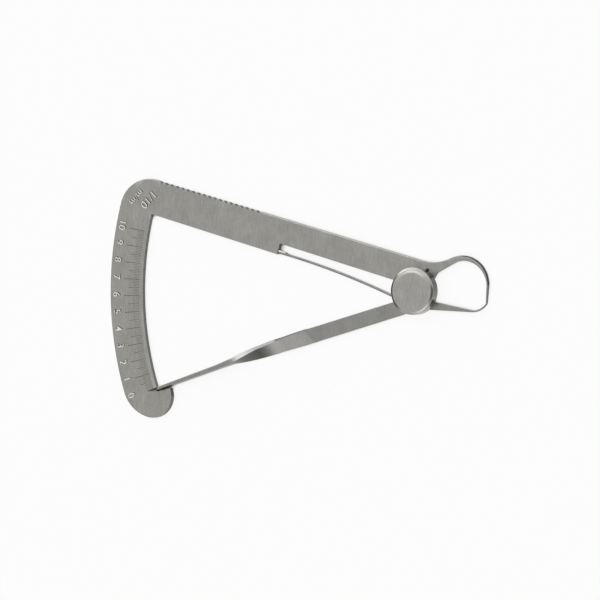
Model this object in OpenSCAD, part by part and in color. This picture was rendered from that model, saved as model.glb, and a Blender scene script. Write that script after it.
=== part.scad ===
// Decimal spring caliper: a hand gauge that reads 0 to 10 mm in tenths.
// A graduated frame and a pointer lever cross in a half-lapped hub. Squeezing the two long arms
// together opens the jaws, and a leaf spring held in the frame closes them again.
// Millimetres. The origin is on the pivot axis in the plane of the back. X runs to the jaws,
// Y to the serrated arm and Z out of the graduated face. Shown closed, reading zero.

/* [Measuring range] */
// Largest reading of the scale
range_mm = 10; // [6:1:10]
// Graduations in each millimetre
divisions = 10; // [2:2:10]
// Pivot axis to jaw tips
tip_radius = 19.6; // [18.5:0.1:21]
// Direction of the jaw tips below the X axis, degrees
tip_angle = 9.2; // [8:0.1:10.5]
// Direction of the zero mark below the far end of the X axis, degrees
zero_angle = 18.4; // [17.8:0.05:18.8]

/* [Scale band] */
// Plate thickness of the frame
plate_t = 1.5; // [1.3:0.05:2]
// Inner radius of the graduated band
band_r = 77.3; // [74:0.1:80]
// Width of the graduated band
band_w = 9.1; // [8:0.1:11]
// Outer corner where the band turns into the arm
corner_r = 8; // [6:0.1:9]
// Rounding of the foot at the zero end
foot_r = 9.5; // [8.6:0.1:10.4]
// Toe that stops the lever, its rounding
toe_r = 5.45; // [4.8:0.05:6]
// Direction of the foot below the far end of the X axis, degrees
foot_angle = 17.1; // [16.6:0.1:17.6]
// Gap left between the toe and the lever at zero
stop_gap = 0.2; // [0.15:0.05:0.6]
// Slope of the toe under the lever, degrees
stop_slope = 13; // [6:0.5:16]
// Width of the shallow bevel along the inner edge of the band
edge_w = 0.8; // [0.4:0.05:1.2]
// Depth of that bevel at the edge
edge_d = 0.12; // [0.05:0.01:0.3]
// Depth of the graduation grooves
groove_d = 0.12; // [0.05:0.01:0.2]
// Width of the graduation grooves
groove_w = 0.14; // [0.08:0.01:0.2]
// Length of a tenth mark
tick_tenth = 1.9; // [1:0.1:2.4]
// Length of a half millimetre mark
tick_half = 3.1; // [2:0.1:3.6]
// Length of a millimetre mark
tick_whole = 4.3; // [3:0.1:4.6]

/* [Upper arm] */
// Slope of the upper edge, degrees
arm_top_slope = 15.2; // [14.5:0.1:15.8]
// Upper edge above the pivot axis
arm_top = 7.8; // [7.3:0.1:8.6]
// Slope of the lower edge, degrees
arm_low_slope = 16; // [15.5:0.1:16.5]
// Lower edge of the wide part, below the pivot axis
wide_low = 1.9; // [1.6:0.05:2.1]
// Lower edge of the narrow part, above the pivot axis
narrow_low = 0.9; // [0.5:0.1:1.4]
// Pivot axis to the wall of the spring notch, along the arm
notch_s = 40.3; // [37:0.1:42]
// Number of grip notches
grip_n = 19; // [10:1:22]
// Pitch of the grip notches
grip_pitch = 1.57; // [1.2:0.01:1.7]
// Depth of the grip notches
grip_d = 0.45; // [0.2:0.05:0.6]

/* [Jaws] */
// Radius of the arch of the upper jaw
arch_r = 7.45; // [6.8:0.05:8]
// Arch beyond the jaw tips
arch_over = 0.6; // [0.3:0.05:0.9]
// Centre of the arch above the jaw tips
arch_up = 4.6; // [4:0.1:5.2]
// Thickness over the top of the arch
arch_top_t = 1.3; // [1.1:0.05:1.7]
// Thickness at the side of the arch
arch_side_t = 0.52; // [0.4:0.02:0.8]
// Hollow between arm and arch, its radius
neck_r = 12; // [9:0.5:16]
// Radius of the upturned end of the lower jaw
curl_r = 4.9; // [4.5:0.1:5.4]
// Thickness at the foot of the upturned end
curl_t = 0.5; // [0.4:0.02:0.7]
// Height of the lower jaw where it leaves the hub
low_jaw_root = 2.7; // [2.4:0.05:3.1]
// Width of both tips
tip_w = 0.3; // [0.2:0.02:0.4]
// Depth of both jaws at the tips
tip_depth = 0.7; // [0.5:0.05:1]
// Gap left between the closed tips
tip_gap = 0.03; // [0.02:0.01:0.06]

/* [Lever] */
// Slope of the flat bar, degrees
bar_slope = 15.7; // [15:0.1:16.2]
// Upper edge of the bar below the pivot axis
bar_top = 0.75; // [0.6:0.05:0.95]
// Width of the flat bar
bar_w = 3.85; // [3.6:0.05:4.4]
// Width of the bar where the twist begins
bar_end_w = 3.5; // [3.2:0.05:3.6]
// Length over which the bar narrows to the twist
bar_taper = 6; // [3:0.5:10]
// Pivot axis to the start of the twist, along the bar
bar_len = 40.7; // [38:0.1:42]
// Thickness at the end of the twist
twist_t = 1.27; // [1.1:0.01:1.4]
// Depth at the end of the twist
twist_depth = 3; // [2.4:0.05:3.4]
// Length of the pointer after the twist
tail_len = 25; // [22:0.5:27]
// Thickness of the pointer near the twist
tail_t = 1; // [0.8:0.02:1.2]
// Thickness of the pointer at the nib
nib_t = 0.76; // [0.6:0.02:0.9]
// Depth of the nib at its tip
nib_depth = 0.15; // [0.1:0.05:0.4]
// Depth of the nib where it leaves the pointer
nib_root = 1; // [0.5:0.05:1.3]
// Gap between the nib and the graduated face
nib_gap = 0.12; // [0.08:0.01:0.25]
// Pointer tip, distance from the pivot axis
pointer_r = 79.9; // [78.8:0.1:80.5]

/* [Hub] */
// Radius of both lapped hub discs
hub_r = 4.7; // [4.3:0.1:4.8]
// Diameter of the cap
cap_d = 12; // [11.4:0.1:12.6]
// Height of the cap above the plate
cap_h = 2.9; // [2.4:0.1:3.5]
// Width of the outer bevel on the rim of the cap
cap_bevel = 0.65; // [0.4:0.05:0.9]
// Drop of the outer bevel
cap_drop = 0.4; // [0.25:0.05:0.7]
// Width of the flat inner bevel round the cap's face
face_bevel = 0.55; // [0.3:0.05:0.8]
// Drop of the inner bevel
face_drop = 0.12; // [0.06:0.01:0.2]
// Depth of the recess under the cap
recess_d = 0.6; // [0.45:0.05:0.8]
// Outer diameter of the bush that the lever turns on
bush_d = 4; // [3.6:0.1:4.4]
// Shank diameter of the pivot screw
screw_d = 2.2; // [1.8:0.1:2.4]
// Thickness of the shim between the hub discs
shim_t = 0.1; // [0.06:0.01:0.14]
// Thickness of the tension washer
washer_t = 0.25; // [0.15:0.01:0.3]
// Diameter of the cap's lock pin
lock_d = 0.7; // [0.5:0.05:0.9]

/* [Spring] */
// Thickness of the leaf
leaf_t = 0.54; // [0.4:0.02:0.6]
// Width of the leaf
leaf_w = 1; // [0.8:0.05:1.1]
// Radius of the leaf's bow
leaf_r = 220; // [180:5:300]
// Slope of the leaf where it leaves the frame, degrees
leaf_slope = 14.5; // [14:0.1:15]
// Depth of the pocket that holds the leaf
pocket_len = 6; // [4:0.5:8]
// Thin lip of the frame under the leaf
lip_t = 0.25; // [0.2:0.05:0.35]
// Thickness of the wedge beside the leaf
wedge_t = 0.36; // [0.25:0.01:0.45]
// Wedge left standing out of the pocket
wedge_out = 2.2; // [1:0.1:3]

/* [Fits] */
// Radial clearance of the lever on its bush
run_fit = 0.02; // [0.01:0.005:0.05]
// Radial clearance of fixed round parts
fix_fit = 0.01; // [0.01:0.005:0.03]
// Side clearance of the lever to the parts it passes
side_play = 0.03; // [0.02:0.005:0.06]
// Gap round each hub disc
hub_gap = 0.12; // [0.08:0.01:0.2]

/* [Hidden] */
$fn = 96;
big = 300;
reach = 60;
over = 1;
eps = 0.01;

steel = [0.72, 0.72, 0.70];
bright = [0.84, 0.84, 0.83];
dark = [0.35, 0.34, 0.33];

// Swing of the lever for a reading: the tips part along the chord
function swing(reading) = 2 * asin(reading / (2 * tip_radius));
function polar(r, a) = [r * cos(a), r * sin(a)];
function toward(p, q, d) = p + d * (q - p) / norm(q - p);

// Directions along and across the edges of the upper arm
top_d = [cos(arm_top_slope), -sin(arm_top_slope)];
top_n = [sin(arm_top_slope), cos(arm_top_slope)];
band_out = band_r + band_w;
corner_s = -sqrt(pow(band_out - corner_r, 2) - pow(arm_top - corner_r, 2));
corner_c = corner_s * top_d + (arm_top - corner_r) * top_n;
foot_c = polar(band_out - foot_r, 180 + foot_angle);
// Direction in which the foot's rounding runs into the toe's
toe_turn = 254.8;
toe_bite = 0.02;
toe_c = foot_c + polar(foot_r - toe_r + toe_bite, toe_turn);
foot_lap = 20;
grip_start = corner_s + 1.9;
grip_flat = 0.08;
tick_gap = 0.1;
tick_base = band_r + edge_w + tick_gap;
edge_from = 180 - arm_low_slope + asin(wide_low / band_r);
edge_to = 180 + zero_angle + asin((nib_t + stop_gap) / band_r);

// Meeting point of the jaw tips, and the directions along and across it
tip_u = [cos(tip_angle), -sin(tip_angle)];
tip_v = [sin(tip_angle), cos(tip_angle)];
tip = tip_radius * tip_u;

// Arch of the upper jaw and the hollow that joins it to the arm
arch_c = [tip[0] + arch_over - arch_r, tip[1] + arch_up];
inner_r = arch_r - (arch_top_t + arch_side_t) / 2;
inner_c = arch_c + [arch_r - arch_side_t - inner_r, arch_r - arch_top_t - inner_r];
neck_bite = 0.02;
neck_foot = (arm_top + neck_r - neck_bite) * top_n;
neck_q = (neck_foot - arch_c) * top_d;
neck_k = (neck_foot - arch_c) * (neck_foot - arch_c) - pow(arch_r + neck_r - neck_bite, 2);
neck_c = neck_foot + (-neck_q - sqrt(neck_q * neck_q - neck_k)) * top_d;
neck_on_arm = neck_c - neck_r * top_n;
neck_on_arch = toward(neck_c, arch_c, neck_r);
neck_root = toward(neck_c, arch_c, neck_r + arch_side_t);
neck_seat = polar(hub_r - over, 25);
arch_lap = 1.5;
arch_start = atan2(neck_c[1] - arch_c[1], neck_c[0] - arch_c[0]) + arch_lap;
arch_past = arch_r + 3;
throat_a = 117;
throat_len = 5.1;
throat_p = inner_c + polar(inner_r, throat_a);
throat_q = throat_p - throat_len * [sin(throat_a), -cos(throat_a)];

// Upturned end of the lower jaw
curl_a = 35;
curl_shift = 0.24;
curl_past = curl_r + 2;
curl_c = tip - (curl_r - tip_w / 2) * [cos(curl_a), -sin(curl_a)];
curl_in_r = curl_r - (curl_t + tip_w) / 2;
curl_in_c = curl_c + [curl_shift, curl_in_r + curl_t - curl_r];

// Heights of the layers in the hub
lap_f = plate_t / 2 - shim_t / 2 - side_play / 2;
lap_l = lap_f + shim_t + side_play;
lever_z0 = side_play;
lever_t = plate_t - 2 * side_play;
lever_z1 = lever_z0 + lever_t;
mid_z = plate_t / 2;
cap_r = cap_d / 2;
bush_r = bush_d / 2;
screw_r = screw_d / 2;
recess_room = 0.4;
recess_r = hub_r + recess_room;
cap_z1 = plate_t + cap_h;
bush_z1 = plate_t + recess_d;
head_w = 0.75;
head_r = screw_r + head_w;
head_d = 0.42;
head_sink = 0.05;
slot_w = 0.44;
slot_d = 0.2;
cap_solid = 1.7;
screw_top = cap_z1 - cap_solid;
thread_room = 0.1;
lock_out = 0.22;
lock_a = 60;
lock_z0 = 0.4;
lock_up = 0.3;
lock_z1 = plate_t + lock_up;
lock_room = 0.05;
lock_c = polar(cap_r + lock_out, lock_a);
washer_in = bush_r + 0.15;
washer_out = hub_r - 0.5;
shim_out = hub_r - 0.4;

// Lever axis points, from the flat bar through the twist to the pointer tip
bar_e = [-cos(bar_slope), -sin(bar_slope)];
bar_n = [-sin(bar_slope), cos(bar_slope)];
bar_mid = bar_top + bar_w / 2;
jaw_heel = 1.5;
jaw_lift = 0.15;
jaw_low = jaw_lift - bar_top - bar_w;
twist_p = bar_len * bar_e - bar_mid * bar_n;
twist_lap = 0.15;

// The pointer's upper edge is the reading edge and points at the pivot axis
point_p = polar(pointer_r, 180 + zero_angle);
tail_u = [cos(zero_angle), sin(zero_angle)];
tail_n = [-sin(zero_angle), cos(zero_angle)];
flare = 0.19;
flare_len = 3.6;
tail_p = point_p + tail_len * tail_u + (flare - twist_t / 2) * tail_n;
tail_z0 = 0.05;
nib_z0 = plate_t + nib_gap;
band_clear = 0.7;
nib_len = pointer_r - band_r + band_clear;
nib_point = nib_t / 8;

// Leaf spring: it leaves the notch wall just above the lip and bows down to the lever
low_d = [cos(arm_low_slope), -sin(arm_low_slope)];
low_n = [sin(arm_low_slope), cos(arm_low_slope)];
leaf_v = [sin(leaf_slope), cos(leaf_slope)];
leaf_p = -notch_s * low_d + (-wide_low + lip_t + leaf_t / 2) * low_n;
leaf_c = leaf_p - leaf_r * leaf_v;
leaf_z0 = (plate_t - leaf_w) / 2;
leaf_end = 4.5;
root_gap = 0.1;
pocket_t = leaf_t + wedge_t + 3 * fix_fit;
wedge_gap = 0.6;
wedge_peak = 0.4;
wedge_end_t = 0.6 * wedge_t;

// Flat strip: from s0 to s1 along an edge of the given slope, between two heights above it
module strip(slope, s0, s1, y0, y1) {
  rotate(-slope)
    translate([s0, y0])
      square([s1 - s0, y1 - y0]);
}

// Side view of a jaw: full depth up to x0, then tapering to the tips
module jaw_taper(x0, z0, z1) {
  x1 = tip[0] + over;
  translate([0, reach, 0])
    rotate([90, 0, 0])
      linear_extrude(2 * reach)
        polygon([[-reach, z0], [x0, z0], [x1, mid_z - tip_depth / 2],
                 [x1, mid_z + tip_depth / 2], [x0, z1], [-reach, z1]]);
}

module band_2d() {
  difference() {
    union() {
      intersection() {
        circle(band_out, $fn = 360);
        polygon([[0, 0], 2 * corner_c, [-big, corner_c[1]], [-big, foot_c[1]], 2 * foot_c]);
      }
      translate(corner_c)
        circle(corner_r);
    }
    circle(band_r, $fn = 360);
  }
}

// Rounded foot, hooked inwards under the lever at zero
module foot_2d() {
  difference() {
    union() {
      intersection() {
        translate(foot_c)
          circle(foot_r);
        polygon([foot_c, foot_c + polar(2 * foot_r, 180 + foot_angle - foot_lap),
                 foot_c + polar(2 * foot_r, toe_turn)]);
      }
      translate(toe_c)
        circle(toe_r);
    }
    difference() {
      circle(band_r, $fn = 360);
      stop_side_2d();
    }
  }
}

// Everything below the line where the lever comes to rest
module stop_side_2d() {
  translate(polar(band_r, 180 + zero_angle) - (nib_t + stop_gap) * tail_n)
    rotate(stop_slope)
      translate([-reach, -reach])
        square([2 * reach, reach]);
}

module arm_2d() {
  intersection() {
    strip(arm_top_slope, corner_s, 0, -reach, arm_top);
    strip(arm_low_slope, -big, -notch_s, -wide_low, reach);
  }
  intersection() {
    strip(arm_top_slope, corner_s, neck_on_arm * top_d, -reach, arm_top);
    strip(arm_low_slope, -big, reach, narrow_low, reach);
  }
}

module neck_2d() {
  polygon([neck_on_arm - arm_top / 2 * top_n, neck_c, neck_root, throat_p, throat_q,
           neck_seat, [0, narrow_low]]);
}

module arch_2d() {
  intersection() {
    difference() {
      translate(arch_c)
        circle(arch_r);
      translate(inner_c)
        circle(inner_r);
    }
    polygon([throat_p, arch_c + polar(arch_past, arch_start), arch_c + [0, arch_past],
             arch_c + [arch_past, arch_past], arch_c + [arch_past, 0], arch_c]);
  }
  polygon([arch_c + [arch_r, 0], arch_c + [arch_r, eps], arch_c + [arch_r - arch_side_t, eps],
           arch_c + [arch_r - arch_side_t, 0],
           tip - tip_w / 2 * tip_u + tip_gap / 2 * tip_v,
           tip + tip_w / 2 * tip_u + tip_gap / 2 * tip_v]);
}

// V notches across the thumb edge
module grip_2d() {
  half = grip_pitch / 2;
  for (i = [0 : grip_n - 1])
    rotate(-arm_top_slope)
      translate([grip_start + i * grip_pitch, arm_top])
        polygon([[-half, eps], [grip_flat - half, 0], [0, -grip_d],
                 [half - grip_flat, 0], [half, eps]]);
}

// Radial marks, longer on the halves and the whole millimetres
module graduations() {
  for (i = [0 : range_mm * divisions]) {
    whole = i % divisions == 0;
    half = i % divisions == divisions / 2;
    length = whole ? tick_whole : half ? tick_half : tick_tenth;
    rotate(180 + zero_angle - swing(i / divisions))
      translate([tick_base, -groove_w / 2, plate_t - groove_d])
        cube([length, groove_w, over]);
  }
}

// Shallow bevel along the inner edge of the band, from the arm to the toe
module edge_bevel() {
  rotate(edge_from)
    rotate_extrude(angle = edge_to - edge_from)
      polygon([[band_r - eps, plate_t - edge_d], [band_r + edge_w, plate_t],
               [band_r + edge_w, plate_t + over], [band_r - eps, plate_t + over]]);
}

module scale_frame() {
  color(steel)
    difference() {
      union() {
        linear_extrude(plate_t)
          difference() {
            union() {
              band_2d();
              foot_2d();
              arm_2d();
              neck_2d();
            }
            grip_2d();
          }
        intersection() {
          linear_extrude(plate_t)
            arch_2d();
          jaw_taper(neck_on_arch[0], 0, plate_t);
        }
        cylinder(r = hub_r, h = lap_f);
      }
      translate([neck_c[0], neck_c[1], -over])
        cylinder(r = neck_r, h = plate_t + 2 * over);
      translate([0, 0, lap_f])
        cylinder(r = hub_r + hub_gap, h = plate_t);
      translate([0, 0, -over])
        cylinder(r = screw_r + fix_fit, h = plate_t + 2 * over);
      translate([0, 0, head_sink])
        cylinder(r1 = head_r + fix_fit, r2 = screw_r + fix_fit, h = head_d);
      translate([0, 0, -over])
        cylinder(r = head_r + fix_fit, h = over + head_sink);
      translate([lock_c[0], lock_c[1], lock_z0])
        cylinder(r = lock_d / 2 + fix_fit, h = plate_t);
      leaf_pocket();
      edge_bevel();
      graduations();
    }
}

// Blind pocket in the notch wall for the leaf and its wedge
module leaf_pocket() {
  translate([leaf_p[0], leaf_p[1], leaf_z0 - fix_fit])
    rotate(-leaf_slope)
      translate([-pocket_len, -leaf_t / 2 - fix_fit, 0])
        cube([pocket_len + over, pocket_t, leaf_w + 2 * fix_fit]);
}

module lever_bar() {
  difference() {
    union() {
      translate([0, 0, lever_z0])
        linear_extrude(lever_t) {
          bar_2d();
          circle(hub_r);
        }
      intersection() {
        translate([0, 0, lever_z0])
          linear_extrude(lever_t)
            lower_jaw_2d();
        jaw_taper(cap_r, lever_z0, lever_z1);
      }
    }
    translate([0, 0, -over])
      cylinder(r = hub_r + hub_gap, h = lap_l + over);
    translate([0, 0, -over])
      cylinder(r = bush_r + run_fit, h = plate_t + 2 * over);
  }
}

// Flat bar, narrowing evenly to the twist
module bar_2d() {
  inset = (bar_w - bar_end_w) / 2;
  rotate(180 + bar_slope)
    translate([0, bar_top])
      polygon([[0, 0], [bar_len - bar_taper, 0], [bar_len, inset], [bar_len, bar_w - inset],
               [bar_len - bar_taper, bar_w], [0, bar_w]]);
}

module lower_jaw_2d() {
  foot_y = curl_c[1] - curl_r;
  polygon([[-jaw_heel, jaw_low], [curl_c[0], foot_y], [curl_c[0] + eps, foot_y],
           [curl_c[0] + eps, foot_y + curl_t], [curl_c[0], foot_y + curl_t],
           [0, jaw_low + low_jaw_root], [-jaw_heel, jaw_low + low_jaw_root]]);
  intersection() {
    difference() {
      translate(curl_c)
        circle(curl_r);
      translate(curl_in_c)
        circle(curl_in_r);
    }
    polygon([curl_c, curl_c + [0, -curl_past], curl_c + [curl_past, -curl_past],
             curl_c + [curl_past, curl_r]]);
    rotate(-tip_angle)
      translate([0, -reach - tip_gap / 2])
        square(reach);
  }
}

// Quarter turn that sets the flat bar on edge, ground flush at the back
module lever_twist() {
  a = [twist_p[0], twist_p[1], mid_z];
  b = [tail_p[0], tail_p[1], tail_z0 + twist_depth / 2];
  l = norm(b - a);
  difference() {
    translate(a)
      rotate([0, acos((b[2] - a[2]) / l), atan2(b[1] - a[1], b[0] - a[0])])
        translate([0, 0, -twist_lap])
          linear_extrude(height = l + 2 * twist_lap, twist = 90, slices = 36, $fn = 12,
                         scale = [twist_t / lever_t, twist_depth / bar_end_w])
            square([lever_t, bar_end_w], center = true);
    translate([-big, -big, lever_z0 - big])
      cube([2 * big, 2 * big, big]);
  }
}

// Pointer on edge, and the nib that lies over the graduated face
module lever_tail() {
  intersection() {
    translate(point_p)
      rotate(zero_angle)
        linear_extrude(plate_t + twist_depth)
          tail_2d();
    translate(point_p)
      rotate([90, 0, zero_angle])
        linear_extrude(big, center = true)
          tail_side_2d();
  }
}

// The pointer seen from the front, measured from its tip
module tail_2d() {
  polygon([[0, 0], [tail_len - flare_len, 0], [tail_len, flare], [tail_len, flare - twist_t],
           [tail_len - flare_len, -tail_t], [nib_len, -nib_t], [0, -nib_point]]);
}

// The pointer seen from below, measured from its tip
module tail_side_2d() {
  polygon([[0, nib_z0], [0, nib_z0 + nib_depth], [nib_len, nib_z0 + nib_root],
           [tail_len, tail_z0 + twist_depth], [tail_len, tail_z0], [nib_len, tail_z0],
           [nib_len, nib_z0]]);
}

module pointer_lever() {
  color(steel)
    union() {
      lever_bar();
      lever_twist();
      lever_tail();
    }
}

// Bowed leaf, with a straight root in the pocket and its free end on the lever
module closing_spring() {
  color(bright)
    translate([0, 0, leaf_z0])
      linear_extrude(leaf_w) {
        intersection() {
          difference() {
            translate(leaf_c)
              circle(leaf_r + leaf_t / 2, $fn = 720);
            translate(leaf_c)
              circle(leaf_r - leaf_t / 2, $fn = 720);
          }
          translate(leaf_p)
            rotate(-leaf_slope)
              translate([0, -reach])
                square([reach, 2 * reach]);
          rotate(180 + bar_slope)
            translate([0, -reach])
              square([reach, reach + bar_top - side_play]);
          translate([-reach, -reach])
            square([reach - leaf_end, 2 * reach]);
        }
        translate(leaf_p)
          rotate(-leaf_slope)
            translate([root_gap - pocket_len, -leaf_t / 2])
              square([pocket_len - root_gap + eps, leaf_t]);
      }
}

// Tapered key driven in above the leaf
module spring_wedge() {
  color(bright)
    translate([leaf_p[0], leaf_p[1], leaf_z0])
      rotate(-leaf_slope)
        translate([0, leaf_t / 2 + fix_fit, 0])
          linear_extrude(leaf_w)
            polygon([[wedge_gap - pocket_len, 0], [wedge_out, 0], [wedge_out, wedge_end_t],
                     [wedge_peak, wedge_t], [wedge_gap - pocket_len, wedge_end_t]]);
}

// Turned cap over the hub, bevelled twice round its face
module pivot_cap() {
  color(steel)
    difference() {
      rotate_extrude()
        polygon([[0, plate_t], [cap_r, plate_t], [cap_r, cap_z1 - face_drop - cap_drop],
                 [cap_r - cap_bevel, cap_z1 - face_drop], [cap_r - cap_bevel - face_bevel, cap_z1],
                 [0, cap_z1]]);
      translate([0, 0, plate_t - over])
        cylinder(r = recess_r, h = recess_d + over);
      cylinder(r = screw_r + fix_fit, h = screw_top + thread_room);
      translate([lock_c[0], lock_c[1], 0])
        cylinder(r = lock_d / 2 + fix_fit, h = lock_z1 + lock_room);
    }
}

// Slotted countersunk screw from the back into the cap, sunk just under the surface
module pivot_screw() {
  color(steel)
    difference() {
      translate([0, 0, head_sink]) {
        cylinder(r = screw_r, h = screw_top - head_sink);
        cylinder(r1 = head_r, r2 = screw_r, h = head_d);
      }
      translate([-big / 2, -slot_w / 2, -over])
        cube([big, slot_w, over + head_sink + slot_d]);
    }
}

// Sleeve that spaces the cap off the frame and carries the lever
module pivot_bush() {
  color(steel)
    translate([0, 0, lap_f])
      difference() {
        cylinder(r = bush_r, h = bush_z1 - lap_f);
        translate([0, 0, -over])
          cylinder(r = screw_r + fix_fit, h = bush_z1 + 2 * over);
      }
}

// Coned washer that takes up the side play of the lever
module tension_washer() {
  z0 = lever_z1 + side_play;
  color(bright)
    rotate_extrude()
      polygon([[washer_in, z0], [washer_in, z0 + washer_t], [washer_out, bush_z1],
               [washer_out, bush_z1 - washer_t]]);
}

// Thin shim between the two hub discs
module hub_shim() {
  color(bright)
    translate([0, 0, lap_f])
      difference() {
        cylinder(r = shim_out, h = shim_t);
        translate([0, 0, -over])
          cylinder(r = bush_r + run_fit, h = shim_t + 2 * over);
      }
}

// Pin at the rim that keeps the cap from turning
module cap_lock_pin() {
  color(dark)
    translate([lock_c[0], lock_c[1], lock_z0])
      cylinder(r = lock_d / 2, h = lock_z1 - lock_z0);
}

scale_frame();
pointer_lever();
closing_spring();
spring_wedge();
pivot_cap();
pivot_screw();
pivot_bush();
tension_washer();
hub_shim();
cap_lock_pin();
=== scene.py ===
"""Looks of the decimal spring caliper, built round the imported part. Metres, in the part's own frame."""

import math
from collections import namedtuple

import bmesh
import bpy
from mathutils import Matrix, Vector
from mathutils.geometry import delaunay_2d_cdt


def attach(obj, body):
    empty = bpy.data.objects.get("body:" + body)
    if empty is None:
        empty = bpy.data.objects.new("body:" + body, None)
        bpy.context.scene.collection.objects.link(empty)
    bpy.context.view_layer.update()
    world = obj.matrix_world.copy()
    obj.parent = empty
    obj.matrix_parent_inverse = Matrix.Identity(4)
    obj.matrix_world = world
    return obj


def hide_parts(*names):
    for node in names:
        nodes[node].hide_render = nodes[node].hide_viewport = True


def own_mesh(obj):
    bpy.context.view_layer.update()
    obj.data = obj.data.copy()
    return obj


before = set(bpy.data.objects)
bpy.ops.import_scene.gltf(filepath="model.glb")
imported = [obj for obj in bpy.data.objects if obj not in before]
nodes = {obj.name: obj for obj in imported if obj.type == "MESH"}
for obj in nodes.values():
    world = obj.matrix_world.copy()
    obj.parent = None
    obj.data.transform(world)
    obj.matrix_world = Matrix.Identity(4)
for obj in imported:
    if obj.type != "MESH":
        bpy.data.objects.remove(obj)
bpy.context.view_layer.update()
MM = 0.001
UP = Vector((0, 0, 1))


# Sizes of the part, in millimetres and degrees
PLATE_T = 1.5
BAND_R, BAND_OUT = 77.3, 86.399
ZERO_ANGLE = 18.4
TIP_RADIUS, TIP_ANGLE, TIP_W, TIP_GAP, TIP_DEPTH = 19.6, 9.2, 0.3, 0.03, 0.7
CORNER_R, FOOT_R, TOE_R, FOOT_ANGLE, TOE_TURN = 8.04, 9.5, 5.45, 17.1, 254.8
STOP_DROP, STOP_SLOPE, STOP_WRAP, TOE_KEEN_END = 0.96, 13, 20, -45
ARM_TOP, ARM_TOP_SLOPE = 7.8, 15.2
WIDE_LOW, NARROW_LOW, ARM_LOW_SLOPE = -1.9, 0.9, 16
NOTCH_S = 40.3
GRIP_N, GRIP_PITCH, GRIP_D, GRIP_FLAT, GRIP_START = 19, 1.57, 0.45, 0.08, 1.9
THUMB_GAP, THUMB_STEPS = 0.6, 24
ARCH_R, ARCH_OVER, ARCH_UP, ARCH_TOP_T, ARCH_SIDE_T = 7.45, 0.6, 4.6, 1.3, 0.52
ARCH_SHADE, ARCH_STEP = 95, 0.35
NECK_R = 12
THROAT_ANGLE, THROAT_LEN, THROAT_HUB = 117, 5.1, 31
JAW_THIN_X, LOW_JAW_THIN_X = 9.5, 6
HUB_R, GAP_R, RECESS_R, LAP_Z = 4.7, 4.82, 4.74, 0.685
LEAF_T, LEAF_W, LEAF_R, LEAF_SLOPE, LEAF_SPAN = 0.54, 1, 220, 14.5, 9.55
LIP_T, POCKET_LEN = 0.25, 6
EDGE_BEVEL_W, EDGE_BEVEL_D = 0.8, 0.12
TICK_BASE = 0.9
TICK_WHOLE, TICK_HALF, TICK_TENTH = (4.3, 0.18), (3.1, 0.12), (1.9, 0.07)
NUMERAL_R, NUMERAL_H, NUMERAL_LEAD = 84.7, 1.95, 0.27
UNIT_MARKS = (("1/10", 2.1, (-75.6, 23.1)), ("m/m", 1.8, (-79.1, 23.7)))
UNIT_TURN, STROKE_GAIN = 225, 0.014
ENGRAVING, TICK_DRAFT, WORD_DRAFT = 0.12, 0.01, 0.03
LEVER_Z0, LEVER_Z1, LEVER_LAP = 0.03, 1.47, 0.815
BAR_SLOPE, BAR_TOP, BAR_W, BAR_END_W = 15.7, 0.75, 3.85, 3.5
BAR_START, BAR_TAPER, BAR_LEN = 4.8, 6, 40.7
TWIST_T, TWIST_DEPTH = 1.27, 3.0
POINTER_R, TAIL_LEN, TAIL_T, TAIL_Z0 = 79.9, 25, 1.0, 0.05
FLARE, FLARE_LEN = 0.19, 3.6
NIB_LEN, NIB_T, NIB_Z0, NIB_TOP, NIB_RISE = 3.3, 0.76, 1.62, 1.76, 0.85
CURL_R, CURL_T, CURL_ANGLE, CURL_SHIFT = 4.9, 0.5, 35, 0.24
JAW_HEEL, JAW_LOW, LOW_JAW_ROOT = 1.5, -4.45, 2.7
BUSH_R, SCREW_HOLE, SCREW_HEAD = 2.02, 1.11, 1.86


def polar(radius, angle):
    """Point at a radius and an angle in degrees."""
    return Vector((radius * math.cos(math.radians(angle)), radius * math.sin(math.radians(angle))))


def heading(vector):
    """Angle of a flat vector, in degrees."""
    return math.degrees(math.atan2(vector.y, vector.x))


def arc(centre, radius, start, end, step=0.5):
    """Points along an arc between two angles, no further apart than the step."""
    count = max(2, math.ceil(abs(math.radians(end - start)) * radius / step))
    return [centre + polar(radius, start + (end - start) * i / count) for i in range(count + 1)]


def swing(reading):
    """Degrees that the lever turns for a reading in millimetres."""
    return 2 * math.degrees(math.asin(reading / (2 * TIP_RADIUS)))


def mixed(first, second, share):
    """Value or point between two others."""
    return first + (second - first) * share


def edge_frame(slope):
    """Directions along and across an edge that falls to the right by a slope."""
    return polar(1, -slope), polar(1, 90 - slope)


# Shader helpers

def new_material(name):
    material = bpy.data.materials.new(name)
    material.use_nodes = True
    return material, material.node_tree.nodes, material.node_tree.links


def add(tree_nodes, kind, **settings):
    node = tree_nodes.new(kind)
    for key, value in settings.items():
        setattr(node, key, value)
    return node


def noise(tree, coords, scale, stretch=(1, 1, 1), detail=4):
    """Noise on object coordinates, stretched by the given shares of the scale."""
    mapping = add(tree.nodes, "ShaderNodeMapping")
    mapping.inputs["Scale"].default_value = [scale * s for s in stretch]
    texture = add(tree.nodes, "ShaderNodeTexNoise")
    texture.inputs["Scale"].default_value = 1
    texture.inputs["Detail"].default_value = detail
    tree.links.new(coords.outputs["Object"], mapping.inputs["Vector"])
    tree.links.new(mapping.outputs["Vector"], texture.inputs["Vector"])
    return texture.outputs["Fac"]


def map_range(tree, value, low, high, to_low, to_high, interpolation="LINEAR"):
    node = add(tree.nodes, "ShaderNodeMapRange", interpolation_type=interpolation)
    for name, number in zip(("From Min", "From Max", "To Min", "To Max"), (low, high, to_low, to_high)):
        node.inputs[name].default_value = number
    tree.links.new(value, node.inputs["Value"])
    return node.outputs["Result"]


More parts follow.
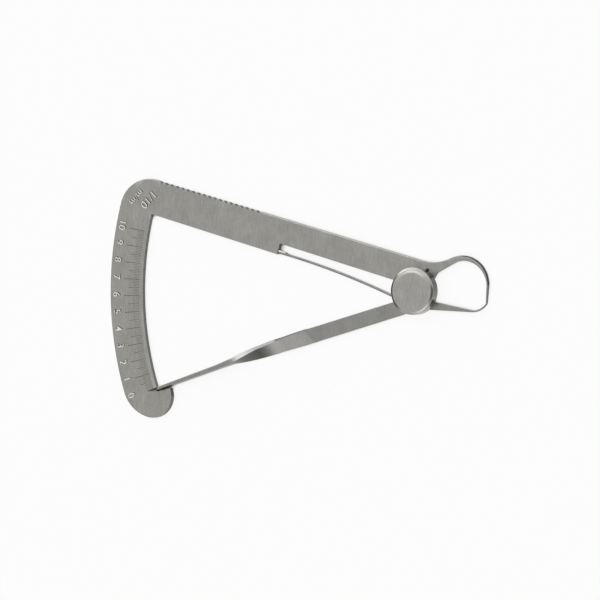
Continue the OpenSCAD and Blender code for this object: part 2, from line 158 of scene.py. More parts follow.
def combine(tree, operation, first, *others):
    """Joins values by a maths operation, two at a time."""
    for other in others:
        node = add(tree.nodes, "ShaderNodeMath", operation=operation)
        for socket, source in zip(node.inputs, (first, other)):
            if isinstance(source, (int, float)):
                socket.default_value = source
            else:
                tree.links.new(source, socket)
        first = node.outputs[0]
    return first


def mix_colour(tree, factor, first, second, blend="MIX"):
    node = add(tree.nodes, "ShaderNodeMix", data_type="RGBA", blend_type=blend)
    for socket, source in ((node.inputs[0], factor), (node.inputs[6], first), (node.inputs[7], second)):
        if isinstance(source, (int, float)):
            socket.default_value = source
        elif isinstance(source, tuple):
            socket.default_value = (*source, 1)
        else:
            tree.links.new(source, socket)
    return node.outputs[2]


def steel(name, face, wall, rough, low_wall=None, lit_side=None, lee=False, streaks=0.12):
    """Ground steel: fine brush lines along Y, soft blotches, and upright walls in a darker tone of their
    own, which is painted shade.

    A low wall tone takes over where the walls face -Y: a painted reflection of the lit floor. A lit tone,
    given with a range, takes over as the normal's share along +Y, towards the window, passes through that
    range: a painted highlight. In the lee of the light, where a surface turns to -X and -Y, it is as dark
    as a wall: painted shade.
    """
    material, tree_nodes, links = new_material(name)
    tree = material.node_tree
    shader = tree_nodes["Principled BSDF"]
    shader.inputs["Metallic"].default_value = 1
    coords = add(tree_nodes, "ShaderNodeTexCoord")
    lines = noise(tree, coords, 9000, (1, 0.05, 1), 3)
    blotches = noise(tree, coords, 320, detail=3)
    grain = noise(tree, coords, 5200, detail=2)

    normal = add(tree_nodes, "ShaderNodeSeparateXYZ")
    links.new(coords.outputs["Normal"], normal.inputs["Vector"])
    across, along, level = normal.outputs
    steepness = add(tree_nodes, "ShaderNodeMath", operation="ABSOLUTE")
    links.new(level, steepness.inputs[0])
    facing = map_range(tree, steepness.outputs[0], 0.15, 0.5, 0, 1)
    # Painted shade in the lee of the light
    if lee:
        turned = combine(tree, "ADD", combine(tree, "MULTIPLY", across, 1.6), along)
        facing = combine(tree, "MULTIPLY", facing, map_range(tree, turned, -0.28, -0.18, 0, 1))
    # Painted reflection: walls facing -Y take the paler low wall tone
    if low_wall:
        wall = mix_colour(tree, map_range(tree, along, -0.6, 0.3, 0, 1), low_wall, wall)

    # Upright walls take the darker wall tone: painted shade
    tone = mix_colour(tree, facing, wall, face)
    # Painted highlight: the lit tone on faces turned towards the window at +Y
    if lit_side:
        lit_tone, start, end = lit_side
        tone = mix_colour(tree, map_range(tree, along, start, end, 0, 1), tone, lit_tone)
    patchy = map_range(tree, blotches, 0.3, 0.7, 0.93, 1.07)
    lined = map_range(tree, lines, 0.3, 0.7, 1 - streaks, 1 + streaks)
    shade = combine(tree, "MULTIPLY", patchy, lined)
    links.new(mix_colour(tree, 1, tone, shade, "MULTIPLY"), shader.inputs["Base Color"])

    spread = map_range(tree, grain, 0.3, 0.7, rough - 0.05, rough + 0.06)
    links.new(spread, shader.inputs["Roughness"])
    bump = add(tree_nodes, "ShaderNodeBump")
    bump.inputs["Strength"].default_value = 0.25
    bump.inputs["Distance"].default_value = 0.004 * MM
    links.new(lines, bump.inputs["Height"])
    links.new(bump.outputs["Normal"], shader.inputs["Normal"])
    return material


# Materials

# Painted light: the darker wall tones are painted shade; the satin's walls facing +Y keep the face tone and
# the lever's faces tilted towards +Y take a paler tone, as painted highlights; the lever also darkens in
# the lee of the light
satin = steel("satin_steel", (0.35, 0.345, 0.323), (0.125, 0.123, 0.118), 0.3,
              lit_side=((0.35, 0.345, 0.323), 0.85, 0.95))
lever_steel = steel("lever_steel", (0.30, 0.296, 0.278), (0.13, 0.13, 0.125), 0.3,
                    lit_side=((0.5, 0.49, 0.47), 0.1, 0.45), lee=True)
# Painted shade for the lever's bevelled edge and its nib
edge_shade_steel = steel("edge_shade_steel", (0.12, 0.118, 0.114), (0.09, 0.088, 0.085), 0.35)
shaded_steel = steel("shaded_steel", (0.05, 0.05, 0.048), (0.045, 0.044, 0.043), 0.35)
# The cap's wall is painted: dark where it faces +Y and pale where it faces -Y, as painted reflections of
# the plate and of the floor
cap_steel = steel("cap_steel", (0.44, 0.43, 0.405), (0.09, 0.088, 0.085), 0.17, low_wall=(0.3, 0.295, 0.28))
spring_steel = steel("spring_steel", (0.27, 0.266, 0.255), (0.2, 0.2, 0.19), 0.3)
# The wedge's near-white face is a painted highlight
wedge_steel = steel("wedge_steel", (0.92, 0.92, 0.9), (0.2, 0.2, 0.19), 0.3)
hub_steel = steel("hub_steel", (0.45, 0.45, 0.43), (0.35, 0.35, 0.34), 0.3)
# The lock pin's near-black steel is painted shade: the dark of the scallop round it
dark_steel = steel("dark_steel", (0.07, 0.06, 0.055), (0.05, 0.045, 0.04), 0.4)
# The stamped words' near-white fill is a painted highlight on their strokes
engraved = steel("engraved_bright", (0.8, 0.8, 0.77), (0.12, 0.115, 0.11), 0.35, streaks=0.05)
graduated = steel("engraved_dark", (0.19, 0.185, 0.175), (0.12, 0.115, 0.11), 0.4, streaks=0.05)


# Mesh helpers

def new_piece(name, mesh, body, slot, *materials):
    piece = bpy.data.objects.new(name, mesh)
    bpy.context.scene.collection.objects.link(piece)
    for material in materials:
        mesh.materials.append(material)
    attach(piece, body)
    return piece


def baked(piece):
    """Applies the piece's modifiers to its mesh."""
    depsgraph = bpy.context.evaluated_depsgraph_get()
    mesh = bpy.data.meshes.new_from_object(piece.evaluated_get(depsgraph))
    piece.modifiers.clear()
    piece.data = mesh
    return mesh


def finish_surface(piece, crease):
    """Applies the modifiers, with flat faces shaded flat and the roundings between them shaded round."""
    piece.data.shade_smooth()
    piece.data.set_sharp_from_angle(angle=math.radians(crease))
    weighted = piece.modifiers.new("flat_faces", "WEIGHTED_NORMAL")
    weighted.mode = "FACE_AREA"
    weighted.weight = 100
    weighted.keep_sharp = True
    baked(piece)


# Graduated frame

# Places of the frame's materials: ground face, painted shade, dark lines and words
GROUND, SHADE, LINE, WORD = range(4)
# How the front rim of a plate is broken: reach into the face, depth down the wall, flat or round, and
# the place of the wall's material
Rim = namedtuple("Rim", "inset drop flat finish")
KEEN, FINE = Rim(0.04, 0.04, False, GROUND), Rim(0.1, 0.1, False, GROUND)
SOFT, THUMB = Rim(0.15, 0.15, False, GROUND), Rim(0.3, 0.1, False, GROUND)
READING_EDGE = Rim(EDGE_BEVEL_W, EDGE_BEVEL_D, True, GROUND)
# The stop's walls and the arch's outer wall and rim take painted shade
STOP, SHADED = Rim(0.04, 0.04, False, SHADE), Rim(0.2, 0.2, False, SHADE)
# The serrations take the dark lines' material: painted shade in their notches
GRIP = Rim(0.03, 0.03, False, LINE)


def frame_outline():
    """The frame seen from the front, clockwise, as (point, rim) pairs."""
    origin = Vector((0, 0))
    top_d, top_n = edge_frame(ARM_TOP_SLOPE)
    low_d, low_n = edge_frame(ARM_LOW_SLOPE)
    points = []

    def trace(rim, *stretch):
        points.extend((p, rim) for p in stretch)

    # Band: inner edge, stop, toe, foot and outer edge
    window = -math.sqrt(BAND_R**2 - WIDE_LOW**2) * low_d + WIDE_LOW * low_n
    stop = polar(BAND_R, 180 + ZERO_ANGLE) - STOP_DROP * polar(1, 90 + ZERO_ANGLE)
    foot = polar(BAND_OUT - FOOT_R, 180 + FOOT_ANGLE)
    toe = foot + polar(FOOT_R - TOE_R, TOE_TURN)
    stop_d, stop_n = polar(1, STOP_SLOPE), polar(1, STOP_SLOPE + 90)
    drop = (stop - toe) @ stop_n
    stop_end = toe + drop * stop_n + math.sqrt(TOE_R**2 - drop**2) * stop_d
    corner_s = -math.sqrt((BAND_OUT - CORNER_R) ** 2 - (ARM_TOP - CORNER_R) ** 2)
    corner = corner_s * top_d + (ARM_TOP - CORNER_R) * top_n
    inner_edge = arc(origin, BAND_R, heading(window) % 360, heading(stop) % 360, 1)
    trace(KEEN, inner_edge[0])
    trace(READING_EDGE, *inner_edge[1:-1])
    trace(STOP, inner_edge[-1])
    stop_turn = heading(stop_end - toe)
    trace(STOP, *arc(toe, TOE_R, stop_turn, stop_turn - STOP_WRAP))
    trace(KEEN, *arc(toe, TOE_R, stop_turn - STOP_WRAP, TOE_KEEN_END)[1:])
    trace(SOFT, *arc(toe, TOE_R, TOE_KEEN_END, TOE_TURN - 360)[1:])
    trace(SOFT, *arc(foot, FOOT_R, TOE_TURN, 180 + FOOT_ANGLE)[1:])
    trace(SOFT, *arc(origin, BAND_OUT, 180 + FOOT_ANGLE, heading(corner), 1)[1:])
    trace(SOFT, *arc(corner, CORNER_R, heading(corner), 90 - ARM_TOP_SLOPE)[1:])

    # Arm: serrations, then the plain thumb edge
    half = GRIP_PITCH / 2 - GRIP_FLAT
    for i in range(GRIP_N):
        middle = corner_s + GRIP_START + i * GRIP_PITCH
        for s, depth in ((middle - half, 0), (middle, GRIP_D), (middle + half, 0)):
            trace(GRIP, s * top_d + (ARM_TOP - depth) * top_n)
    thumb = corner_s + GRIP_START + (GRIP_N - 0.5) * GRIP_PITCH

    # Neck and arch of the upper jaw, and its tip
    tip_u, tip_v = polar(1, -TIP_ANGLE), polar(1, 90 - TIP_ANGLE)
    tip = TIP_RADIUS * tip_u
    arch = tip + Vector((ARCH_OVER - ARCH_R, ARCH_UP))
    inner_r = ARCH_R - (ARCH_TOP_T + ARCH_SIDE_T) / 2
    inner = arch + Vector((ARCH_R - ARCH_SIDE_T - inner_r, ARCH_R - ARCH_TOP_T - inner_r))
    neck_foot = (ARM_TOP + NECK_R) * top_n
    reach = (neck_foot - arch) @ top_d
    beyond = (neck_foot - arch).length_squared - (ARCH_R + NECK_R) ** 2
    neck = neck_foot - (reach + math.sqrt(reach**2 - beyond)) * top_d
    neck_s = neck @ top_d
    for i in range(THUMB_STEPS + 1):
        s = mixed(thumb + THUMB_GAP, neck_s, i / THUMB_STEPS)
        trace(THUMB, s * top_d + ARM_TOP * top_n)
    trace(SOFT, *arc(neck, NECK_R, -90 - ARM_TOP_SLOPE, heading(arch - neck))[1:])
    trace(FINE, *arc(arch, ARCH_R, heading(neck - arch), ARCH_SHADE, ARCH_STEP)[1:])
    trace(SHADED, *arc(arch, ARCH_R, ARCH_SHADE, 0, ARCH_STEP)[1:])
    trace(KEEN, *(tip + side * TIP_W / 2 * tip_u + TIP_GAP / 2 * tip_v for side in (1, -1)))
    level = math.degrees(math.asin((arch - inner).y / inner_r))
    trace(FINE, *arc(inner, inner_r, level, THROAT_ANGLE, ARCH_STEP))

    # Throat, hub recess and the arm's lower edge with the notch for the spring
    throat = points[-1][0] - THROAT_LEN * polar(1, THROAT_ANGLE - 90)
    trace(FINE, throat)
    hub_out = -math.sqrt(RECESS_R**2 - NARROW_LOW**2) * low_d + NARROW_LOW * low_n
    trace(KEEN, *arc(origin, RECESS_R, THROAT_HUB, heading(hub_out)))
    wall = -NOTCH_S * low_d
    trace(FINE, hub_out - 1.4 * low_d, wall + NARROW_LOW * low_n + 0.3 * low_d)
    trace(KEEN, wall + NARROW_LOW * low_n, wall + WIDE_LOW * low_n)
    trace(FINE, wall + WIDE_LOW * low_n - low_d)
    return points


def inset_shifts(outline):
    """Unit shift of each outline point into the material, mitred at corners."""
    shifts = []
    for i, (point, _) in enumerate(outline):
        before = (point - outline[i - 1][0]).normalized()
        after = (outline[(i + 1) % len(outline)][0] - point).normalized()
        first, second = Vector((before.y, -before.x)), Vector((after.y, -after.x))
        shifts.append((first + second) / max(1 + first @ second, 0.5))
    return shifts


def jaw_depth(x):
    """Lowest and highest height of the frame: the jaw thins towards its tip."""
    start, end = JAW_THIN_X, TIP_RADIUS * math.cos(math.radians(TIP_ANGLE)) + 1
    share = min(max((x - start) / (end - start), 0), 1)
    half = PLATE_T / 2 + (TIP_DEPTH - PLATE_T) / 2 * share
    return PLATE_T / 2 - half, PLATE_T / 2 + half


def tick_marks():
    """Four corners of each graduation. The mark at zero is short, so that the pointer's nib covers it."""
    for i in range(101):
        along = polar(1, 180 + ZERO_ANGLE - swing(i / 10))
        length, width = {0: TICK_WHOLE, 5: TICK_HALF}.get(i % 10, TICK_TENTH) if i else TICK_TENTH
        across = Vector((-along.y, along.x)) * width / 2
        near = BAND_R + TICK_BASE
        far = near + length
        yield [near * along - across, far * along - across, far * along + across, near * along + across]


def lettering(text, height, place, turn):
    """Faces of a word in the plain built-in font, centred on a place and turned, as corner lists."""
    curve = bpy.data.curves.new("word", "FONT")
    curve.body = text
    curve.align_x, curve.align_y = "CENTER", "CENTER"
    curve.resolution_u = 4
    curve.offset = STROKE_GAIN
    curve.size = 1
    holder = bpy.data.objects.new("word", curve)
    mesh = bpy.data.meshes.new_from_object(holder)
    heights = [v.co.y for v in mesh.vertices]
    tall, middle = max(heights) - min(heights), (max(heights) + min(heights)) / 2
    spin = Matrix.Rotation(math.radians(turn), 2)
    spots = [place + spin @ (Vector((v.co.x, v.co.y - middle)) * height / tall) for v in mesh.vertices]
    faces = [[spots[i] for i in face.vertices] for face in mesh.polygons if face.area > 1e-6]
    bpy.data.objects.remove(holder)
    return faces


def scale_words():
    """Faces of the numbers along the scale and of the unit above it."""
    for number in range(11):
        angle = 180 + ZERO_ANGLE - swing(number) - NUMERAL_LEAD
        yield from lettering(str(number), NUMERAL_H, polar(NUMERAL_R, angle), angle + 90)
    for text, height, place in UNIT_MARKS:
        yield from lettering(text, height, Vector(place), UNIT_TURN)


RIM_STEPS = 4
# A painted shadow lies on the right of each stroke: a dark copy of the words, shifted aside
STROKE_SHADOW_SHIFT = Vector((0.24, 0.1))


def plate(skin, outline, depth, cuts=()):
    """Plate with broken rims inside an outline. Returns the faces that lie in each group of cuts."""
    shifts = inset_shifts(outline)
    count = len(outline)

    def rim_rings(side):
        """Rings of points over one rim, from the wall to the face. The back has fine rims only."""
        rings = []
        for k in range(RIM_STEPS + 1):
            turn = polar(1, 90 * k / RIM_STEPS)
            ring = []
            for (point, rim), shift in zip(outline, shifts):
                if side == 0:
                    rim = min(rim, FINE)
                inset, drop = (k / RIM_STEPS, 1 - k / RIM_STEPS) if rim.flat else (1 - turn.x, 1 - turn.y)
                spot = point + shift * rim.inset * inset
                height = depth(spot.x)[side]
                drop *= rim.drop
                ring.append(skin.verts.new((*spot, height + (drop if side == 0 else -drop))))
            rings.append(ring)
        return rings

    def fill(ring, side, groups):
        """Fills a face inside a ring and returns the faces that lie in each group of cuts."""
        flat = [v.co.xy for v in ring]
        faces = [list(range(count))[::-1]]
        owners = []
        for owner, polygons in enumerate(groups):
            for polygon in polygons:
                faces.append(list(range(len(flat), len(flat) + len(polygon))))
                flat.extend(polygon)
                owners.append(owner)
        made = delaunay_2d_cdt(flat, [], faces, 1, 1e-6)
        corners, triangles, from_points, from_faces = made[0], made[2], made[3], made[5]
        verts = []
        for spot, sources in zip(corners, from_points):
            on_rim = [s for s in sources if s < count]
            verts.append(ring[on_rim[0]] if on_rim else skin.verts.new((*spot, depth(spot.x)[side])))
        found = [[] for _ in groups]
        for triangle, sources in zip(triangles, from_faces):
            if 0 in sources:
                face = skin.faces.new([verts[i] for i in triangle])
                for owner in {owners[s - 1] for s in sources if s}:
                    found[owner].append(face)
        return found

    below, above = rim_rings(0), rim_rings(1)
    stack = below[::-1] + above
    for lower, upper in zip(stack, stack[1:]):
        for i in range(count):
            j = (i + 1) % count
            face = skin.faces.new((lower[i], lower[j], upper[j], upper[i]))
            face.material_index = min(outline[i][1].finish, outline[j][1].finish)
    fill(below[-1], 0, ())
    return fill(above[-1], 1, cuts)


def make_frame():
    skin = bmesh.new()
    words = list(scale_words())
    stroke_shadows = [[point + STROKE_SHADOW_SHIFT for point in face] for face in words]
    ticks, stroke_shadows, words = plate(skin, frame_outline(), jaw_depth, (list(tick_marks()), stroke_shadows, words))
    bmesh.ops.recalc_face_normals(skin, faces=skin.faces)
    # Where a painted stroke shadow lies under a word, the word's own material stays
    for faces, place in ((ticks, LINE), (stroke_shadows, SHADE), (words, WORD)):
        for face in faces:
            face.material_index = place
    for faces, draft in ((ticks, TICK_DRAFT), (words, WORD_DRAFT)):
        bmesh.ops.inset_region(skin, faces=faces, thickness=draft, depth=-ENGRAVING, use_even_offset=True)
    disc_r = RECESS_R + 0.02
    revolved(skin, [(SCREW_HOLE, LAP_Z), (disc_r, LAP_Z), (disc_r, 0), (SCREW_HEAD, 0), (SCREW_HEAD, 0.05),
                    (SCREW_HOLE, 0.47)])
    piece = as_piece(skin, "graduated_frame", "frame", "satin_steel", satin, shaded_steel, graduated,
                     engraved)
    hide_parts("scale_frame")


# Solids of turning and of moving sections

def revolved(skin, profile, segments=128):
    """Turns a closed (radius, height) profile about the pivot axis."""
    rings = []
    for i in range(segments):
        turn = polar(1, 360 * i / segments)
        rings.append([skin.verts.new((r * turn.x, r * turn.y, z)) for r, z in profile])
    for i in range(segments):
        first, second = rings[i], rings[(i + 1) % segments]
        for j in range(len(profile)):
            k = (j + 1) % len(profile)
            skin.faces.new((first[j], second[j], second[k], first[k]))


CORNER_STEPS = 3
BEVEL_FALL = 0.75


def section(centre, side, half_side, rise, half_rise, rounding, bevel=0):
    """Rounded rectangle round a centre, between two directions, as a ring of points.

    The first corner can be bevelled steeply instead, by a width along the side and most of the way down.
    """
    ring = []
    soft = min(rounding, 0.9 * half_side, 0.9 * half_rise)
    for quarter, (a, b) in enumerate(((1, 1), (-1, 1), (-1, -1), (1, -1))):
        corner = centre + a * (half_side - soft) * side + b * (half_rise - soft) * rise
        for i in range(CORNER_STEPS + 1):
            share = i / CORNER_STEPS
            turn = polar(soft, 90 * quarter + 90 * share)
            point = corner + turn.x * side + turn.y * rise
            if quarter == 0 and bevel:
                sharp = centre + half_side * side + half_rise * rise
                point = sharp - share * bevel * side - (1 - share) * BEVEL_FALL * 2 * half_rise * rise
            ring.append(point)
    return ring


def lofted(skin, rings):
    """Closed skin over a row of rings."""
    rows = [[skin.verts.new(point) for point in ring] for ring in rings]
    count = len(rows[0])
    for first, second in zip(rows, rows[1:]):
        for i in range(count):
            j = (i + 1) % count
            skin.faces.new((first[i], first[j], second[j], second[i]))
    skin.faces.new(rows[0])
    skin.faces.new(rows[-1][::-1])


def as_piece(skin, name, body, slot, *materials, crease=40):
    """Makes a piece of a skin drawn in millimetres, sharp at edges steeper than the crease."""
    bmesh.ops.recalc_face_normals(skin, faces=skin.faces)
    for vertex in skin.verts:
        vertex.co *= MM
    mesh = bpy.data.meshes.new(name)
    skin.to_mesh(mesh)
    skin.free()
    piece = new_piece(name, mesh, body, slot, *materials)
    finish_surface(piece, crease)
    return piece


make_frame()


# Pointer lever

BAR_BEVEL, LEAST_BEVEL = 0.22, 0.02
BAR_ROUND, TAIL_ROUND, NIB_ROUND = 0.1, 0.14, 0.06
BAR_STEPS, TWIST_STEPS, TAIL_STEPS, NIB_STEPS = 12, 64, 24, 8
# Turn of the bar in degrees at distances along it: a slight set first, then the quarter turn
TWIST_TURNS = ((31, 0), (32, 12), (40, 14), (43.6, 30), (47.5, 47), (51.4, 68), (54.9, 90))
# The set begins askew, later at the upper edge, and the bevel runs out into the turn
SET_SKEW, SET_END = 0.6, 41
BEVEL_RUN_OUT = (44, 47)


def twist_turn(run):
    """Turn of the bar at a distance along it."""
    for (near, low), (far, high) in zip(TWIST_TURNS, TWIST_TURNS[1:]):
        if run <= far:
            return mixed(low, high, (run - near) / (far - near))
    return TWIST_TURNS[-1][1]


def lever_sections():
    """Sections of the lever from the hub to the pointer's tip: flat bar, quarter twist, pointer on edge."""
    bar_e, bar_n = polar(1, 180 + BAR_SLOPE), polar(1, 90 + BAR_SLOPE)
    tail_u, tail_n = polar(1, ZERO_ANGLE), polar(1, 90 + ZERO_ANGLE)
    bar_mid = BAR_TOP + BAR_W / 2
    mid_z, half_t = (LEVER_Z0 + LEVER_Z1) / 2, (LEVER_Z1 - LEVER_Z0) / 2
    sections = []
    for i in range(BAR_STEPS + 1):
        s = mixed(BAR_START, TWIST_TURNS[0][0], i / BAR_STEPS)
        centre = (s * bar_e - bar_mid * bar_n).to_3d() + mid_z * UP
        sections.append(section(centre, bar_n.to_3d(), BAR_W / 2, UP, half_t, BAR_ROUND, BAR_BEVEL))

    # The bar turns as it runs on to the pointer, and is on edge where the pointer begins
    tip = polar(POINTER_R, 180 + ZERO_ANGLE)
    start = BAR_LEN * bar_e - bar_mid * bar_n
    end = tip + TAIL_LEN * tail_u + (FLARE - TWIST_T / 2) * tail_n
    first, last = TWIST_TURNS[0][0], BAR_LEN + (end - start).length
    for i in range(1, TWIST_STEPS):
        run = mixed(first, last, i / TWIST_STEPS)
        onward = max(0, run - BAR_LEN) / (last - BAR_LEN)
        if onward:
            spot = mixed(start, end, onward)
            width = mixed(BAR_END_W, TWIST_DEPTH, onward)
        else:
            spot = start + (run - BAR_LEN) * bar_e
            width = mixed(BAR_W, BAR_END_W, max(0, run - BAR_LEN + BAR_TAPER) / BAR_TAPER)
        share = (run - first) / (last - first)
        skew = SET_SKEW * max(0, (SET_END - run) / (SET_END - first))
        turn = polar(1, twist_turn(run))
        across = mixed(bar_n, tail_n, share).normalized().to_3d()
        height = mixed(mid_z, TAIL_Z0 + TWIST_DEPTH / 2, twist_turn(run) / 90)
        side = turn.x * across + turn.y * UP + skew * bar_e.to_3d()
        rise = turn.x * UP - turn.y * across
        thick = mixed(2 * half_t, TWIST_T, share)
        fading = (BEVEL_RUN_OUT[1] - run) / (BEVEL_RUN_OUT[1] - BEVEL_RUN_OUT[0])
        bevel = min(BAR_BEVEL, max(LEAST_BEVEL, BAR_BEVEL * fading))
        centre = spot.to_3d() + height * UP
        sections.append(section(centre, side, width / 2, rise, thick / 2, BAR_ROUND, bevel))

    def tail(s, upper, lower, bottom, top, rounding):
        """Adds a section of the pointer at a distance from its tip."""
        centre = (tip + s * tail_u + (upper + lower) / 2 * tail_n).to_3d() + (bottom + top) / 2 * UP
        half_depth, half_width = (top - bottom) / 2, (upper - lower) / 2
        sections.append(section(centre, UP, half_depth, -tail_n.to_3d(), half_width, rounding))

    for i in range(TAIL_STEPS + 1):
        s = mixed(TAIL_LEN, NIB_LEN, i / TAIL_STEPS)
        flare = max(0, s - TAIL_LEN + FLARE_LEN) / FLARE_LEN
        thin = min(1, (TAIL_LEN - FLARE_LEN - s) / (TAIL_LEN - FLARE_LEN - NIB_LEN))
        lower = mixed(-TAIL_T, FLARE - TWIST_T, flare) if flare else mixed(-TAIL_T, -NIB_T, thin)
        top = mixed(NIB_TOP + NIB_RISE, TAIL_Z0 + TWIST_DEPTH, (s - NIB_LEN) / (TAIL_LEN - NIB_LEN))
        tail(s, FLARE * flare, lower, TAIL_Z0, top, TAIL_ROUND)
    for i in range(NIB_STEPS + 1):
        s = (NIB_LEN - 0.04) * (1 - i / NIB_STEPS)
        share = s / NIB_LEN
        top = NIB_TOP + NIB_RISE * share
        tail(s, 0, mixed(-NIB_T / 8, -NIB_T, share), NIB_Z0, top, NIB_ROUND)
    return sections


def lower_jaw_outline():
    """Lower jaw seen from the front, clockwise from its inner curl, as (point, rim) pairs."""
    tip_u, tip_v = polar(1, -TIP_ANGLE), polar(1, 90 - TIP_ANGLE)
    curl = TIP_RADIUS * tip_u - (CURL_R - TIP_W / 2) * polar(1, -CURL_ANGLE)
    inner_r = CURL_R - (CURL_T + TIP_W) / 2
    inner = curl + Vector((CURL_SHIFT, inner_r + CURL_T - CURL_R))

    def tip_heading(centre, radius):
        """Direction in which a circle meets the line where the tips part."""
        drop = -TIP_GAP / 2 - centre @ tip_v
        return heading(drop * tip_v + math.sqrt(radius**2 - drop**2) * tip_u)

    def leaves_hub(start, end):
        """Point where a line from inside the hub's gap leaves it."""
        along = (end - start).normalized()
        near = start @ along
        return start + (math.sqrt(near**2 - start.length_squared + GAP_R**2) - near) * along

    foot = curl.y - CURL_R
    root_low = leaves_hub(Vector((-JAW_HEEL, JAW_LOW)), Vector((curl.x, foot)))
    root_top = leaves_hub(Vector((0, JAW_LOW + LOW_JAW_ROOT)), Vector((curl.x, foot + CURL_T)))
    points = [(p, FINE) for p in arc(inner, inner_r, -90, tip_heading(inner, inner_r), ARCH_STEP)]
    points += [(p, FINE) for p in arc(curl, CURL_R, tip_heading(curl, CURL_R), -90, ARCH_STEP)]
    points += [(p, KEEN) for p in arc(Vector((0, 0)), GAP_R, heading(root_low), heading(root_top))]
    return points


def lower_jaw_depth(x):
    """Lowest and highest height of the lower jaw, thinning from the cap to its tip."""
    start, end = LOW_JAW_THIN_X, TIP_RADIUS * math.cos(math.radians(TIP_ANGLE)) + 1
    share = min(max((x - start) / (end - start), 0), 1)
    middle, half = PLATE_T / 2, (LEVER_Z1 - LEVER_Z0) / 2
    half += (TIP_DEPTH / 2 - half) * share
    return middle - half, middle + half


def make_lever():
    skin = bmesh.new()
    lofted(skin, lever_sections())
    bmesh.ops.recalc_face_normals(skin, faces=skin.faces)
    # The bar's bevelled edge and the nib take the second, darker material: painted shade
    for face in skin.faces:
        reach = face.calc_center_median().xy.length
        bar_edge = reach < BEVEL_RUN_OUT[0] and face.normal.y > 0.8
        nib = reach > POINTER_R - NIB_LEN
        face.material_index = int(bar_edge or nib)
    # The turning bar is ground flat at the level of its back
    cut = bmesh.ops.bisect_plane(
        skin, geom=skin.verts[:] + skin.edges[:] + skin.faces[:],
        plane_co=(0, 0, LEVER_Z0), plane_no=(0, 0, -1), clear_outer=True, dist=1e-5)
    rim = [e for e in cut["geom_cut"] if isinstance(e, bmesh.types.BMEdge)]
    bmesh.ops.holes_fill(skin, edges=rim)
    plate(skin, lower_jaw_outline(), lower_jaw_depth)
    revolved(skin, [(BUSH_R, LEVER_LAP), (HUB_R, LEVER_LAP), (HUB_R, LEVER_Z1), (BUSH_R, LEVER_Z1)])
    piece = as_piece(skin, "lever_and_pointer", "lever", "satin_steel", lever_steel, edge_shade_steel)
    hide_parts("pointer_lever")


make_lever()


# Cap over the pivot

def make_cap():
    skin = bmesh.new()
    revolved(skin, [
        (0.01, 4.3995), (4.5, 4.3995), (4.6, 4.395), (5.15, 4.308), (5.2, 4.302), (5.35, 4.297),
        (5.4, 4.287), (5.86, 4.08), (5.94, 3.99), (5.985, 3.91), (6, 3.8), (6, 1.58), (5.96, 1.52),
        (5.9, 1.5), (5.1, 1.5), (5.1, 2.1), (SCREW_HOLE, 2.1), (SCREW_HOLE, 2.8), (0.01, 2.8)])
    piece = as_piece(skin, "cap_turned", "frame", "cap_steel", cap_steel, crease=8)
    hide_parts("pivot_cap")


make_cap()


# Leaf spring: its free length and its root in the pocket are separate pieces

def make_leaf():
    low_d, low_n = edge_frame(ARM_LOW_SLOPE)
    leaf_d, leaf_v = edge_frame(LEAF_SLOPE)
    bar_n = polar(1, 90 + BAR_SLOPE)
    wall = -NOTCH_S * low_d + (WIDE_LOW + LIP_T + LEAF_T / 2) * low_n
    centre = wall - LEAF_R * leaf_v
    half_w, mid_z = LEAF_W / 2, PLATE_T / 2 * UP

    def leaf_section(point, out):
        """One section of the leaf, thinned from below where it lies on the lever's bar."""
        low = min(LEAF_T / 2, point @ bar_n + BAR_TOP - 0.03)
        middle = point + (LEAF_T / 2 - low) / 2 * out
        return section(middle.to_3d() + mid_z, out.to_3d(), (LEAF_T / 2 + low) / 2, UP, half_w, 0.05)

    free, root = [], []
    for i in range(49):
        out = polar(1, 90 - LEAF_SLOPE - LEAF_SPAN * i / 48)
        free.append(leaf_section(centre + LEAF_R * out, out))
    for i in range(7):
        root.append(leaf_section(wall - (POCKET_LEN - 0.1) * i / 6 * leaf_d, leaf_v))
    skin = bmesh.new()
    lofted(skin, root)
    stub = as_piece(skin, "spring_root", "frame", "spring_steel", spring_steel)
    skin = bmesh.new()
    lofted(skin, free)
    leaf = as_piece(skin, "spring_leaf", "frame", "spring_steel", spring_steel)
    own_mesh(leaf)
    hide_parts("closing_spring")
    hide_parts("closing_spring")


make_leaf()


# Finish of the parts that show as they are built

def dress(node, material):
    piece = nodes[node]
    piece.data.materials.clear()
    piece.data.materials.append(material)


for node, material in {
    "spring_wedge": wedge_steel,
    "cap_lock_pin": dark_steel,
    "pivot_screw": hub_steel,
    "pivot_bush": hub_steel,
    "tension_washer": spring_steel,
    "hub_shim": hub_steel,
}.items():
    dress(node, material)


# Floor, light and camera

FLOOR_GLOW = 0.9
# Painted shade in narrow gaps between deep walls: share of open sky at which they are black and white
GAP_DEPTH = 1.5 * MM
NARROW_GAP = (0.25, 0.55)


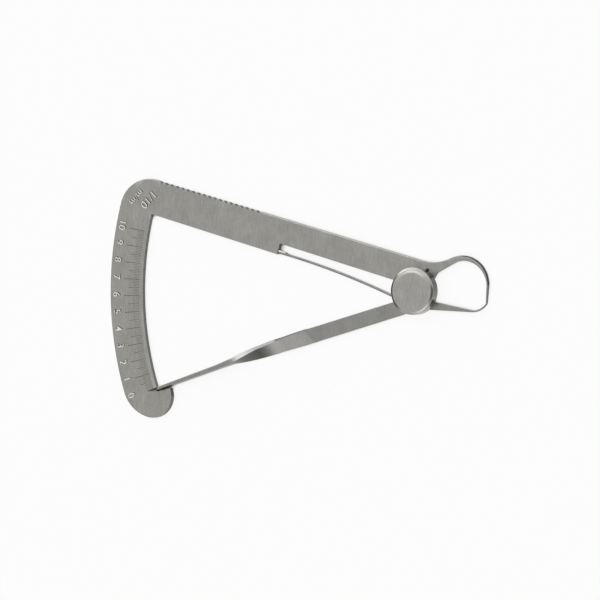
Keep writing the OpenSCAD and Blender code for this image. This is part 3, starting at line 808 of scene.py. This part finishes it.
def make_floor():
    skin = bmesh.new()
    bmesh.ops.create_grid(skin, x_segments=1, y_segments=1, size=6)
    mesh = bpy.data.meshes.new("floor")
    skin.to_mesh(mesh)
    skin.free()
    floor = bpy.data.objects.new("floor", mesh)
    floor.location.z = -0.02 * MM
    bpy.context.scene.collection.objects.link(floor)
    material, tree_nodes, links = new_material("pale_floor")
    shader = tree_nodes["Principled BSDF"]
    shader.inputs["Base Color"].default_value = (0.96, 0.96, 0.96, 1)
    shader.inputs["Roughness"].default_value = 1
    shader.inputs["Specular IOR Level"].default_value = 0

    # Seen directly or in the steel, the floor is nearly white and keeps a faint shadow
    tree = material.node_tree
    path = add(tree_nodes, "ShaderNodeLightPath")
    rays = [path.outputs[name] for name in ("Is Camera Ray", "Is Glossy Ray", "Is Transmission Ray")]
    share = combine(tree, "MULTIPLY", combine(tree, "MAXIMUM", *rays), FLOOR_GLOW)
    glow = add(tree_nodes, "ShaderNodeEmission")
    # The glow fades with the open sky round each point: painted shade in narrow gaps
    open_sky = add(tree_nodes, "ShaderNodeAmbientOcclusion", samples=8)
    open_sky.inputs["Distance"].default_value = GAP_DEPTH
    links.new(map_range(tree, open_sky.outputs["AO"], *NARROW_GAP, 0, 1), glow.inputs["Strength"])
    both = add(tree_nodes, "ShaderNodeMixShader")
    links.new(share, both.inputs[0])
    links.new(shader.outputs[0], both.inputs[1])
    links.new(glow.outputs[0], both.inputs[2])
    links.new(both.outputs[0], tree_nodes["Material Output"].inputs["Surface"])
    mesh.materials.append(material)


# The studio: an even tent with a window beyond the serrated arm, a pale card and dark cloths
TENT = 0.72
WINDOW = 1.5


def make_studio():
    world = bpy.data.worlds.new("studio")
    world.use_nodes = True
    bpy.context.scene.world = world
    tree = world.node_tree
    background = tree.nodes["Background"]
    coords = add(tree.nodes, "ShaderNodeTexCoord")
    split = add(tree.nodes, "ShaderNodeSeparateXYZ")
    tree.links.new(coords.outputs["Generated"], split.inputs["Vector"])
    x, y, _ = split.outputs

    def zone(value, start, end, at_start, at_end):
        """Strength that passes smoothly from one value to another over a part of the sky."""
        return map_range(tree, value, start, end, at_start, at_end, "SMOOTHSTEP")

    # The tent, a little brighter overhead, with the card towards -Y and cloths low down and on the right
    overhead = zone(x, -0.42, -0.12, 1, 1.12)
    card = zone(y, -0.38, -0.29, 1.8, 1)
    below = zone(combine(tree, "ADD", y, combine(tree, "MULTIPLY", x, 0.5)), -0.95, -0.72, 0.45, 1)
    right = zone(x, 0.05, 0.35, 1, 0.25)
    tent = combine(tree, "MULTIPLY", overhead, card, below, right, TENT)

    # The window towards +Y, fading upwards and to the right, and a cloth far to the left
    sill, lintel = zone(y, 0.14, 0.27, 0, 1), zone(y, 0.45, 0.75, 1, 0.35)
    window = combine(tree, "MULTIPLY", sill, lintel, zone(x, -0.33, -0.12, 1, 0.35), WINDOW)
    left = zone(x, -0.88, -0.74, 0.13, 1)
    light = combine(tree, "MULTIPLY", combine(tree, "ADD", tent, window), left)
    tree.links.new(light, background.inputs["Strength"])
    background.inputs["Color"].default_value = (1, 1, 1, 1)


# The photograph looks from the jaws' side, tilted off square, and from far enough that little converges
VIEW_TILT = math.radians(26.7)
VIEW_WIDTH = 151.13 * MM
VIEW_CENTRE = Vector((-32.74, -2.24, PLATE_T)) * MM
VIEW_DISTANCE = 6
SENSOR = 36


def make_camera():
    toward = Vector((math.sin(VIEW_TILT), 0, math.cos(VIEW_TILT)))
    up = Vector((0, 1, 0))
    data = bpy.data.cameras.new("camera")
    data.sensor_width = SENSOR
    data.lens = SENSOR * VIEW_DISTANCE / VIEW_WIDTH
    camera = bpy.data.objects.new("camera", data)
    bpy.context.scene.collection.objects.link(camera)
    axes = Matrix((up.cross(toward), up, toward)).transposed().to_4x4()
    camera.matrix_world = Matrix.Translation(VIEW_CENTRE + VIEW_DISTANCE * toward) @ axes
    bpy.context.scene.camera = camera


make_floor()
make_studio()
make_camera()
bpy.context.scene.view_settings.view_transform = "Standard"
